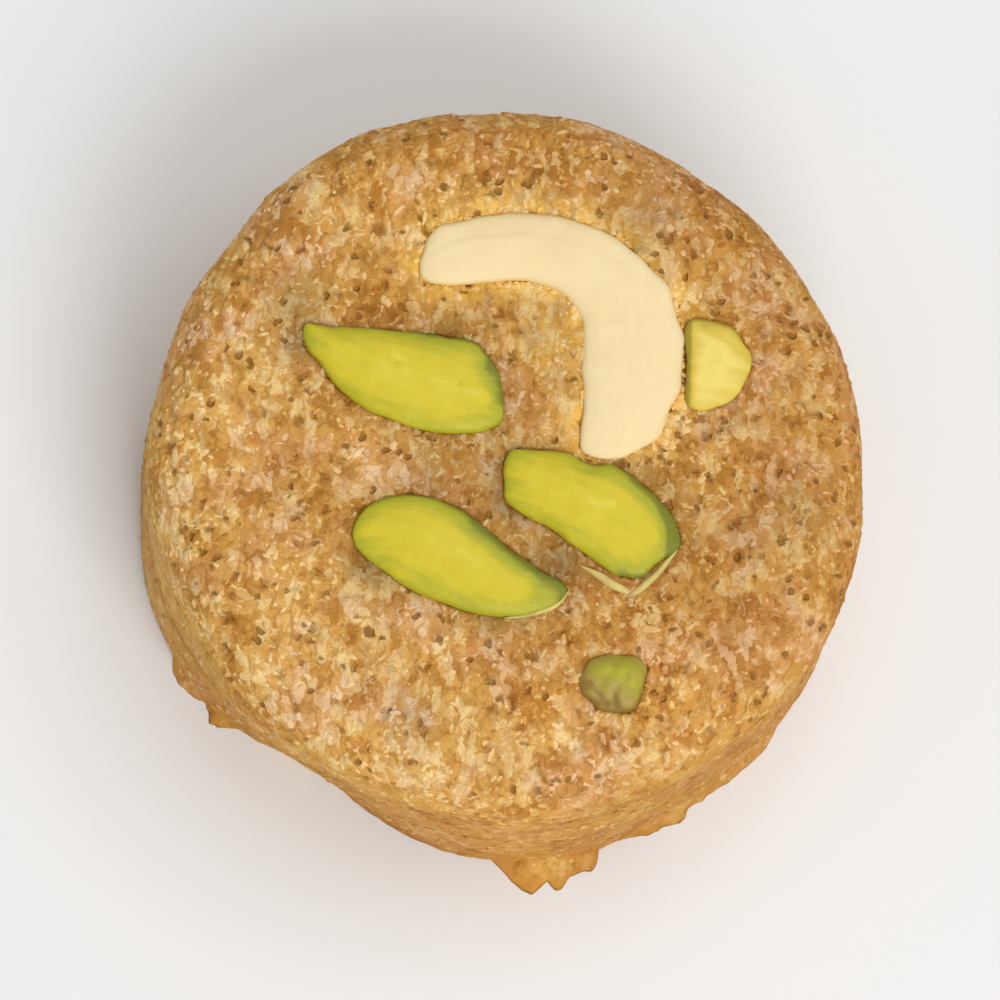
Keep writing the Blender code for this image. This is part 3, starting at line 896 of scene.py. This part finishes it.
def crumb_group():
    """Group: pressed crumb.

    The shade is the sum of warped cells, of flecks that lie in two directions, dust, broad
    patches and level streaks on the wall. It runs from caramel over tan to cream. Sparse
    flecks are cream, and sparse cells and the gaps between flecks are dark: painted shade
    in these dents, over the crumb's own brown. The masks add painted shade in the hollows,
    soaking, browning with painted shade down the wall, painted light and shade in patches,
    and painted warm bounce light on the wall.
    """
    name = "Pressed crumb"
    if name in bpy.data.node_groups:
        return bpy.data.node_groups[name]
    values = ("Shift", "Hollow", *CRUMB_MASKS)
    group, get, made = new_group(name, Vector=("Vector",), Float=values, Color=CRUMB_COLOURS)
    wobble = noise(get["Vector"], 1300.0, 1.0).outputs["Color"]
    wobble = vectors("SUBTRACT", wobble, (0.5, 0.5, 0.5))
    place = vectors("MULTIPLY_ADD", wobble, (WARP, WARP, WARP), get["Vector"])
    grain_gap, grain = cells(place, *GRAIN_CELLS)
    fleck_gap, fleck = cells(place, *FLECK_CELLS)
    _, bit = cells(place, *BIT_CELLS)
    pit_gap, pit = cells(place, *PIT_CELLS)
    dust = noise(place, 3200.0, 2.0, 0.6).outputs[0]
    patches = noise(get["Vector"], 170.0, 3.0, 0.6)
    level = vectors("MULTIPLY", get["Vector"], STREAK_STRETCH)
    streak = noise(level, 420.0, 3.0, 0.6).outputs[0]
    grainy = maths("MULTIPLY_ADD", get["Wall"], -0.5, 1.0)

    grains = plus(
        centred(grain, SHADES["grain"]), centred(fleck, SHADES["fleck"]),
        centred(bit, SHADES["bit"]))
    shade = plus(
        times(grains, grainy), centred(dust, SHADES["dust"]),
        centred(patches.outputs[0], SHADES["patch"]),
        times(centred(streak, SHADES["streak"]), get["Wall"]), get["Shift"], 0.5)
    colour = mixed(spread(shade, 0.15, 0.5), get["Caramel"], get["Middle"])
    colour = mixed(spread(shade, 0.5, 0.9), colour, get["Light"])
    cream = times(spread(bit, 0.84, 0.9), grainy, 0.65)
    colour = mixed(cream, colour, get["Light"])
    hue = add_node(group, "ShaderNodeSeparateColor", {0: patches.outputs["Color"]}).outputs[1]
    colour = mixed(spread(hue, 0.45, 0.62), colour, get["Rosy"], "MULTIPLY")
    # Browner crumb, and painted shade on the wall, darker towards the foot.
    colour = mixed(get["Browning"], colour, get["Browned"], "MULTIPLY")
    # Painted warm bounce light and shade on the wall.
    colour = mixed(get["Wall"], colour, get["Wall_painted_light"], "MULTIPLY")
    golden = mixed(spread(shade, 0.35, 0.95), get["Soaked"], get["Light"])
    colour = mixed(get["Soaking"], colour, golden)
    # Painted light and shade: the patches, and the shade beside the large halves.
    brightness = {"Value": plus(get["Bright"], 1.0), "Color": colour}
    colour = add_node(group, "ShaderNodeHueSaturation", brightness).outputs[0]

    rare = maths("MULTIPLY_ADD", get["Browning"], 0.12, pit)
    pits = times(spread(rare, 0.80, 0.86), spread(pit_gap, 0.42, 0.15), grainy)
    crease = times(spread(fleck_gap, 0.5, 0.95), grainy, 0.5)
    hollow = maths("MAXIMUM", maths("MAXIMUM", pits, crease), get["Hollow"])
    # Dark brown in pits, creases and hollows: painted shade, over the crumb's own brown.
    colour = mixed(times(hollow, 0.85), colour, get["Dark"])
    height = plus(
        times(grain_gap, HEIGHTS["grain"]), times(dust, HEIGHTS["dust"]),
        times(fleck_gap, HEIGHTS["fleck"]), times(pits, HEIGHTS["pit"]))
    height = plus(times(height, grainy), times(streak, get["Wall"], HEIGHTS["streak"]))
    roughness = spread(shade, 0.1, 0.9, 0.6, 0.82)
    set_inputs(made, {"Color": colour, "Roughness": roughness, "Height": height})
    return group


FLESH_COLOURS = ("Pale", "Face", "Flank", "Edge")


def flesh_group():
    """Group: nut flesh, from face over flank to edge as its mask rises to 1.

    It is mottled, and streaked along the nut. Below 0 the mask and the streaks make it
    paler, which on the pistachios is partly painted highlight.
    """
    name = "Nut flesh"
    if name in bpy.data.node_groups:
        return bpy.data.node_groups[name]
    group, get, made = new_group(
        name, Vector=("Vector", "Along"), Float=("Edge mask", "Streaks"), Color=FLESH_COLOURS)
    mottle = noise(get["Vector"], 420.0, 4.0).outputs[0]
    fine = noise(get["Vector"], 3800.0, 3.0).outputs[0]
    along = vectors("MULTIPLY", get["Along"], (0.16, 1.1, 1.0))
    streak = noise(along, 1.0, 5.0, 0.6).outputs[0]
    edge = plus(
        get["Edge mask"], centred(mottle, 0.4), times(centred(streak, 2.0), get["Streaks"]))
    colour = mixed(spread(edge, -0.6, 0.0), get["Pale"], get["Face"])
    colour = mixed(spread(edge, 0.0, 0.5), colour, get["Flank"])
    colour = mixed(spread(edge, 0.5, 1.0), colour, get["Edge"])
    roughness = spread(fine, 0.3, 0.7, 0.38, 0.52)
    height = maths("MULTIPLY_ADD", fine, 0.35, streak)
    set_inputs(made, {"Color": colour, "Roughness": roughness, "Height": height})
    return group


def principled(name, group, inputs, bump, **constants):
    """A material whose Principled shader takes colour, roughness and bump from a group.

    Inputs that are strings are read from the piece's mask of that name.
    """
    material = bpy.data.materials.new(name)
    material.use_nodes = True
    tree = material.node_tree
    place = add_node(tree, "ShaderNodeTexCoord").outputs
    sockets = {"Vector": place["Object"]}
    if "Along" in group.interface.items_tree:
        sockets["Along"] = place["UV"]
    for label, value in inputs.items():
        sockets[label] = mask(tree, value) if isinstance(value, str) else value
    look = add_node(tree, "ShaderNodeGroup", sockets, node_tree=group).outputs
    relief = add_node(tree, "ShaderNodeBump", {"Height": look["Height"], "Distance": bump})
    set_inputs(tree.nodes["Principled BSDF"], {
        "Base Color": look["Color"],
        "Roughness": look["Roughness"],
        "Normal": relief.outputs[0],
        **{label.replace("_", " "): value for label, value in constants.items()},
    })
    return material


# Materials --------------------------------------------------------------------------


def crumb_material(name, settings, bump, **masks):
    """Pressed crumb in the cake's colours, with more masks by input."""
    looks = {label: rgba(getattr(settings, label.lower())) for label in CRUMB_COLOURS}
    return principled(
        name, crumb_group(), {**looks, **CRUMB_MASKS, **masks}, bump, Specular_IOR_Level=0.18)


def flesh_material(name, colours, streaks, bump):
    """Nut flesh in four colours, pale, face, flank and edge, as the piece's own mask says."""
    looks = {"Edge mask": "edge", "Streaks": streaks}
    looks.update(zip(FLESH_COLOURS, map(rgba, colours)))
    return principled(
        name, flesh_group(), looks, bump,
        Subsurface_Weight=0.12, Subsurface_Scale=1.5 * MM, Specular_IOR_Level=0.3,
    )


def blended(a, b, share):
    """The colour a share of the way from a to b."""
    return tuple(x + (y - x) * share for x, y in zip(a, b))


# Operators --------------------------------------------------------------------------


class SWEET_OT_cake(bpy.types.Operator):
    """Makes the cake of pressed crumb over its solid"""

    bl_idname = "sweet.cake"
    bl_label = "Cake of crumb"

    def execute(self, context):
        settings = context.scene.sweet_cake
        points, directions, slope, faces = cake_grid(
            settings.top_cells, settings.wall_rows, settings.lip_rows)
        browned = toasting(points)
        height, hollow = crumb_relief(settings, points, slope, browned)
        # Painted light and shade from the patches.
        painted_light_and_shade = patchy(points)
        inside = falloff(plan_gap(points, *SOAK_BEND), SOAK_BEND_RADIUS)
        for key, nut in NUTS.items():
            distance = nut_distance(nut, points)
            near = distance < NUT_NEAR
            height -= DIP * outside(distance, DIP_WIDTH) * near
            fall = ramp(POCKET_START - distance, 0.0, POCKET_SLOPE)
            height = height * (1.0 - fall) - POCKET_DEPTH * fall
            if key == "cashew":
                soaking = outside(distance, SOAK_WIDTH + SOAK_MORE * inside) * near
                browned = browned + SOAK_TOAST * inside * soaking
                soaking *= np.clip(0.8 + 0.7 * soft_noise(points, 1.8 * MM, 50), 0.0, 1.0)
            else:
                # A thin painted shadow at a pistachio's edge.
                edge = falloff(distance, EDGE_SHADOW_WIDTH)
                hollow = np.maximum(hollow, EDGE_SHADOW * edge)
            # Painted shade beside the large halves.
            if key in HALVES:
                painted_light_and_shade = painted_light_and_shade - HALF_SHADE * outside(distance, HALF_SHADE_WIDTH) * near
        points = points + directions * height[:, None]
        points[:, 2] = np.maximum(points[:, 2], 0.0)
        wall = ramp(slope, *WALL_SLOPES)
        # Painted shade: the wall gets browner towards the foot.
        browned = browned + wall * (0.7 * (1.0 - points[:, 2] / THICKNESS) - 0.05)
        material = crumb_material("crumb", settings, CRUMB_BUMP, Hollow="hollow")
        cake = new_piece(
            "cake", points, faces, material,
            hollow=hollow, soaking=soaking, toasting=browned, wall=wall, patch=painted_light_and_shade)
        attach(cake, "root")
        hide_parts("body")
        return {"FINISHED"}


# A loose crumb's corners, how deep it sinks as a share of its radius, how much its shade
# varies, and its bump.
CRUMB_CORNERS = 12
CRUMB_SINK = 0.1
CRUMB_VARIETY = 0.1
LOOSE_BUMP = 0.06 * MM


def icosahedron():
    """Corners, the turns of (0, 1, golden ratio) at radius 1, and faces of an icosahedron."""
    golden = (1.0 + math.sqrt(5.0)) / 2.0
    base = [(0.0, a, b * golden) for a in (-1.0, 1.0) for b in (-1.0, 1.0)]
    corners = np.array([np.roll(corner, k) for k in range(3) for corner in base])
    corners /= math.hypot(1.0, golden)
    side = np.linalg.norm(corners[:, None] - corners, axis=-1)
    near = np.isclose(side, side[side > 0.01].min())
    faces = np.array([
        (a, b, c) for a, b, c in combinations(range(CRUMB_CORNERS), 3)
        if near[a, b] and near[b, c] and near[a, c]
    ])
    first, second, third = (corners[faces[:, k]] for k in range(3))
    inward = np.einsum("ij,ij->i", np.cross(first, second), third) < 0.0
    faces[inward] = faces[inward][:, ::-1]
    return corners, faces


def crumb_mesh(draw, centres, normals, radii, flatness):
    """Icosahedra with corners moved at random, drawn out one way and flat along the normals."""
    corners, faces = icosahedron()
    count = len(centres)
    shape = corners * draw.uniform(0.6, 1.25, (count, CRUMB_CORNERS, 1))
    turn = draw.normal(size=(count, 3))
    across = np.cross(normals, turn)
    across /= np.linalg.norm(across, axis=-1)[:, None]
    longer = draw.uniform(0.9, 1.7, (count, 1))
    frames = [across * longer, np.cross(normals, across) / longer, flatness * normals]
    shape = np.einsum("nij,njk->nik", shape, np.stack(frames, axis=1))
    points = shape * radii[:, None, None] + centres[:, None]
    index = faces[None] + CRUMB_CORNERS * np.arange(count)[:, None, None]
    return points.reshape(-1, 3), index.reshape(-1, 3)


def mesh_values(obj, name, size=1):
    """One attribute of an object's mesh as an array."""
    mesh = obj.data
    values = np.empty(len(mesh.vertices) * size, np.float32)
    if name == "normal":
        mesh.vertex_normals.foreach_get("vector", values)
    else:
        mesh.attributes[name].data.foreach_get("vector" if size == 3 else "value", values)
    return values.reshape(-1, size).astype(float) if size > 1 else values.astype(float)


class SWEET_OT_crumbs(bpy.types.Operator):
    """Scatters the loose crumbs that are pressed to the cake, by kind"""

    bl_idname = "sweet.crumbs"
    bl_label = "Loose crumbs"

    def execute(self, context):
        settings = context.scene.sweet_crumbs
        cake = bpy.data.objects["cake"]
        points = mesh_values(cake, "position", 3)
        clear = (points[:, 2] > settings.largest) & (mesh_values(cake, "hollow") < 0.5)
        wanted = clear * (1.0 - 0.65 * mesh_values(cake, "wall"))
        for nut in NUTS.values():
            distance = nut_distance(nut, points)
            wanted *= (distance > -0.12 * MM) * (1.0 + 3.0 * falloff(distance, 0.4 * MM))
        kinds = (
            ("crumbs_tan", settings.tan_count, 0.05, 71),
            ("crumbs_brown", settings.brown_count, -0.22, 72),
            ("crumbs_pale", settings.pale_count, 0.38, 73),
        )
        spare = settings.largest - settings.smallest
        for name, count, shift, seed in kinds:
            draw = np.random.default_rng(seed)
            chosen = draw.choice(len(points), count, replace=False, p=wanted / wanted.sum())
            radii = settings.smallest + spare * draw.beta(1.2, 3.5, count)
            self.piece(context, name, draw, chosen, radii, shift)
        draw = np.random.default_rng(74)
        places = np.concatenate([
            (bit.x, bit.y) + draw.normal(0.0, 0.5, (BIT_CRUMBS, 2)) * (bit.length, bit.width)
            for bit in BITS
        ])
        radii = np.repeat([BIT_SHARE * bit.width for bit in BITS], BIT_CRUMBS)
        radii = radii * draw.uniform(0.6, 1.2, len(places))
        chosen = np.array([
            np.linalg.norm(points - (x, y, THICKNESS), axis=-1).argmin() for x, y in places
        ])
        self.piece(context, "pale_bits", draw, chosen, radii, BIT_SHIFT)
        return {"FINISHED"}

    def piece(self, context, name, draw, chosen, radii, shift):
        """One piece of crumbs at the chosen points of the cake, their shades about the shift."""
        cake = bpy.data.objects["cake"]
        normals = mesh_values(cake, "normal", 3)[chosen]
        centres = mesh_values(cake, "position", 3)[chosen]
        centres = centres - normals * (CRUMB_SINK * radii)[:, None]
        flatness = context.scene.sweet_crumbs.flatness
        shape, faces = crumb_mesh(draw, centres, normals, radii, flatness)
        material = crumb_material(name, context.scene.sweet_cake, LOOSE_BUMP, Shift="own")
        own = np.repeat(draw.normal(shift, CRUMB_VARIETY, len(chosen)), CRUMB_CORNERS)
        masks = {
            label: np.repeat(mesh_values(cake, label)[chosen], CRUMB_CORNERS)
            for label in CRUMB_MASKS.values()
        }
        piece = new_piece(name, shape, [faces], material, smooth=False, own=own, **masks)
        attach(piece, "root")


# The brown of the cashew's edge, and its shares in the face, flank and edge.
CASHEW_BROWN = (0.70, 0.40, 0.10)
CASHEW_SHARES = (0.12, 0.3, 0.9)


class SWEET_OT_cashew(bpy.types.Operator):
    """Makes the half cashew"""

    bl_idname = "sweet.cashew"
    bl_label = "Cashew half"

    def execute(self, context):
        settings = context.scene.sweet_nuts
        nut = NUTS["cashew"]

        def shape(share, side):
            """A shallow line along the outer side, and a step down beyond it."""
            line = falloff(side - 0.42, 0.07) * ramp(0.62 - share, 0.0, 0.2)
            return -0.09 * MM * line - 0.07 * MM * ramp(side, 0.4, 0.6)

        points, faces, uv, inset = nut_surface(
            nut, 2 * settings.rings, settings.section, settings.squareness, 0.06 * MM, 81, shape)
        edge = 0.9 * outside(inset, 0.3 * MM) + marked(nut, points[:, :2], "shade") - 0.35
        darker = [blended(settings.cream, CASHEW_BROWN, share) for share in CASHEW_SHARES]
        material = flesh_material("cashew", (settings.cream, *darker), 0.5, 0.03 * MM)
        piece = new_piece("cashew", points, faces, material, uv=uv, edge=edge)
        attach(piece, "root")
        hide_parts(nut.node)
        return {"FINISHED"}


# How each piece of pistachio looks: its slot, the azimuth that its green side faces, how
# green its rim is there and elsewhere, its roughness and its ridges.
Kernel = namedtuple("Kernel", "slot side_azimuth side rim rough ridge")
KERNELS = {
    "left": Kernel("pistachio", math.radians(50), 0.25, 0.28, 0.07 * MM, 0.04 * MM),
    "right": Kernel("pistachio", math.radians(20), 0.15, 0.28, 0.07 * MM, 0.04 * MM),
    "lower": Kernel("pistachio", math.radians(60), 0.22, 0.35, 0.05 * MM, 0.02 * MM),
    "end": Kernel("pistachio_pale", math.radians(90), 0.2, 0.3, 0.06 * MM, 0.03 * MM),
    "nub": Kernel("pistachio_dull", math.radians(-100), 0.6, 0.1, 0.2 * MM, 0.06 * MM),
}
# Flank and edge of the cut end and of the sunken piece.
PALE_EDGES = ((0.72, 0.53, 0.07), (0.40, 0.30, 0.03))
DULL_EDGES = ((0.42, 0.30, 0.07), (0.28, 0.17, 0.03))


class SWEET_OT_pistachios(bpy.types.Operator):
    """Makes the five pieces of pistachio"""

    bl_idname = "sweet.pistachios"
    bl_label = "Pistachio pieces"

    def execute(self, context):
        settings = context.scene.sweet_nuts
        lime = (settings.straw_and_highlight, settings.lime, settings.leaf, settings.green)
        colours_of = {
            "end": (settings.straw_and_highlight, settings.pale_lime, *PALE_EDGES),
            "nub": (settings.leaf, settings.dull, *DULL_EDGES),
        }
        for seed, (key, kernel) in enumerate(KERNELS.items(), 90):
            nut = NUTS[key]

            def shape(share, side):
                """Low ridges along the nut."""
                return kernel.ridge * np.cos(6.0 * side + 5.0 * share + seed)

            points, faces, uv, inset = nut_surface(
                nut, settings.rings, settings.section, settings.squareness,
                kernel.rough, 3 * seed, shape)
            towards = np.array([math.cos(kernel.side_azimuth), math.sin(kernel.side_azimuth)])
            place = (points[:, :2] - points[:, :2].mean(axis=0)) @ towards
            beside = ramp(place / np.abs(place).max(), -0.2, 0.9)
            broad, narrow = outside(inset, 1.5 * MM), outside(inset, 0.3 * MM)
            edge = broad * (kernel.rim + kernel.side * beside) + narrow * (0.1 + 0.3 * beside)
            edge += marked(nut, points[:, :2], "shade")
            material = flesh_material(nut.node, colours_of.get(key, lime), 0.42, 0.08 * MM)
            piece = new_piece(nut.node + "_kernel", points, faces, material, uv=uv, edge=edge)
            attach(piece, "root")
            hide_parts(nut.node)
        return {"FINISHED"}


SKIN_RINGS, SKIN_SECTION = 50, 16
# Shares of the skin's colour for its pale parts, face, flank and edge.
SKIN_SHADES = (1.2, 1.0, 0.75, 0.5)


class SWEET_OT_skins(bpy.types.Operator):
    """Makes the slivers of skin beside the pistachios"""

    bl_idname = "sweet.skins"
    bl_label = "Slivers of skin"

    def execute(self, context):
        settings = context.scene.sweet_nuts
        for seed, (name, skin) in enumerate(SKINS.items(), 300):
            points, faces, uv, _ = nut_surface(
                skin, SKIN_RINGS, SKIN_SECTION, 0.9, 0.06 * MM, seed)
            colours = [tuple(share * np.array(settings.skin)) for share in SKIN_SHADES]
            material = flesh_material(name, colours, 0.3, 0.03 * MM)
            edge = 0.5 * soft_noise(points, 0.8 * MM, seed)
            piece = new_piece(name, points, faces, material, uv=uv, edge=edge)
            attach(piece, "root")
        return {"FINISHED"}


# Each light's size and place from the middle of the top, in metres.
KEY_LIGHT = 0.45, (0.22, -0.58, 0.62)
FILL_LIGHT = 0.8, (0.25, 0.25, 0.9)
FLOOR_HALF, FLOOR_THICK = 1.2, 0.02
# The direction from the sweet to the camera, and how far in front of the axis it aims.
CAMERA_SIDE = (-37.0, -117.0, 558.0)
CAMERA_AIM = -1.2 * MM


class SWEET_OT_stage(bpy.types.Operator):
    """Sets the plain floor, the soft lights and the camera at the photograph's angle"""

    bl_idname = "sweet.stage"
    bl_label = "Stage"

    def execute(self, context):
        settings = context.scene.sweet_stage
        self.floor(settings)
        centre = Vector((0.0, 0.0, THICKNESS))
        self.light("key", settings.key_power, centre, *KEY_LIGHT)
        self.light("fill", settings.fill_power, centre, *FILL_LIGHT)
        world = bpy.data.worlds.new("room")
        world.use_nodes = True
        sky = {"Color": (1.0, 1.0, 1.0, 1.0), "Strength": settings.sky}
        set_inputs(world.node_tree.nodes["Background"], sky)
        context.scene.world = world
        context.scene.view_settings.view_transform = "Standard"
        self.camera(context, settings)
        return {"FINISHED"}

    def floor(self, settings):
        """One wide slab with its top at the foot's level."""
        sides = (-FLOOR_HALF, FLOOR_HALF)
        x, y, z = np.meshgrid(sides, sides, (-FLOOR_THICK, 0.0), indexing="ij")
        points = np.stack([x, y, z], axis=-1).reshape(-1, 3)
        faces = np.array([
            [0, 1, 3, 2], [4, 6, 7, 5], [0, 4, 5, 1], [2, 3, 7, 6], [0, 2, 6, 4], [1, 5, 7, 3],
        ])
        material = bpy.data.materials.new("floor")
        material.use_nodes = True
        plain_floor = {"Base Color": rgba(settings.floor), "Roughness": 0.7}
        set_inputs(material.node_tree.nodes["Principled BSDF"], plain_floor)
        new_piece("floor", points, [faces], material, smooth=False)

    def light(self, name, power, centre, size, offset):
        """A soft square light that faces the sweet."""
        lamp = bpy.data.lights.new(name, "AREA")
        lamp.energy = power
        lamp.size = size
        obj = bpy.data.objects.new(name, lamp)
        obj.location = centre + Vector(offset)
        obj.rotation_euler = Vector(offset).to_track_quat("Z", "Y").to_euler()
        bpy.context.scene.collection.objects.link(obj)

    def camera(self, context, settings):
        """Nearly overhead, with the picture's up along +Y, as the photograph was taken."""
        back = Vector(CAMERA_SIDE).normalized()
        right = Vector((0.0, 1.0, 0.0)).cross(back).normalized()
        up = back.cross(right)
        lens = bpy.data.cameras.new("camera")
        lens.sensor_width = 36.0
        lens.lens = lens.sensor_width * settings.distance / settings.view_width
        lens.clip_start = 0.01
        camera = bpy.data.objects.new("camera", lens)
        target = Vector((0.0, CAMERA_AIM, 0.5 * THICKNESS))
        place = target + back * settings.distance
        camera.matrix_world = Matrix((
            (right.x, up.x, back.x, place.x),
            (right.y, up.y, back.y, place.y),
            (right.z, up.z, back.z, place.z),
            (0.0, 0.0, 0.0, 1.0),
        ))
        context.scene.collection.objects.link(camera)
        context.scene.camera = camera


class SWEET_PT_panel(bpy.types.Panel):
    """The sweet's pieces, one button each"""

    bl_idname = "SWEET_PT_panel"
    bl_label = "Pressed sesame sweet"
    bl_space_type = "VIEW_3D"
    bl_region_type = "UI"
    bl_category = "Sweet"

    def draw(self, context):
        for operator in OPERATORS:
            self.layout.operator(operator.bl_idname)
        for name in SETTINGS:
            box = self.layout.box()
            group = getattr(context.scene, name)
            for label in group.bl_rna.properties.keys():
                if label not in ("rna_type", "name"):
                    box.prop(group, label)


OPERATORS = (
    SWEET_OT_cake, SWEET_OT_crumbs, SWEET_OT_cashew, SWEET_OT_pistachios, SWEET_OT_skins,
    SWEET_OT_stage,
)
SETTINGS = {
    "sweet_cake": CakeSettings,
    "sweet_crumbs": CrumbSettings,
    "sweet_nuts": NutSettings,
    "sweet_stage": StageSettings,
}


def register():
    """Registers the settings, the operators and the panel."""
    for name, group in SETTINGS.items():
        bpy.utils.register_class(group)
        setattr(bpy.types.Scene, name, PointerProperty(type=group))
    for operator in OPERATORS:
        bpy.utils.register_class(operator)
    bpy.utils.register_class(SWEET_PT_panel)


def unregister():
    """Takes them away again."""
    bpy.utils.unregister_class(SWEET_PT_panel)
    for operator in reversed(OPERATORS):
        bpy.utils.unregister_class(operator)
    for name, group in SETTINGS.items():
        delattr(bpy.types.Scene, name)
        bpy.utils.unregister_class(group)


def main():
    """Makes every piece in order."""
    register()
    for operator in OPERATORS:
        family, action = operator.bl_idname.split(".")
        getattr(getattr(bpy.ops, family), action)()


if __name__ == "__main__":
    main()
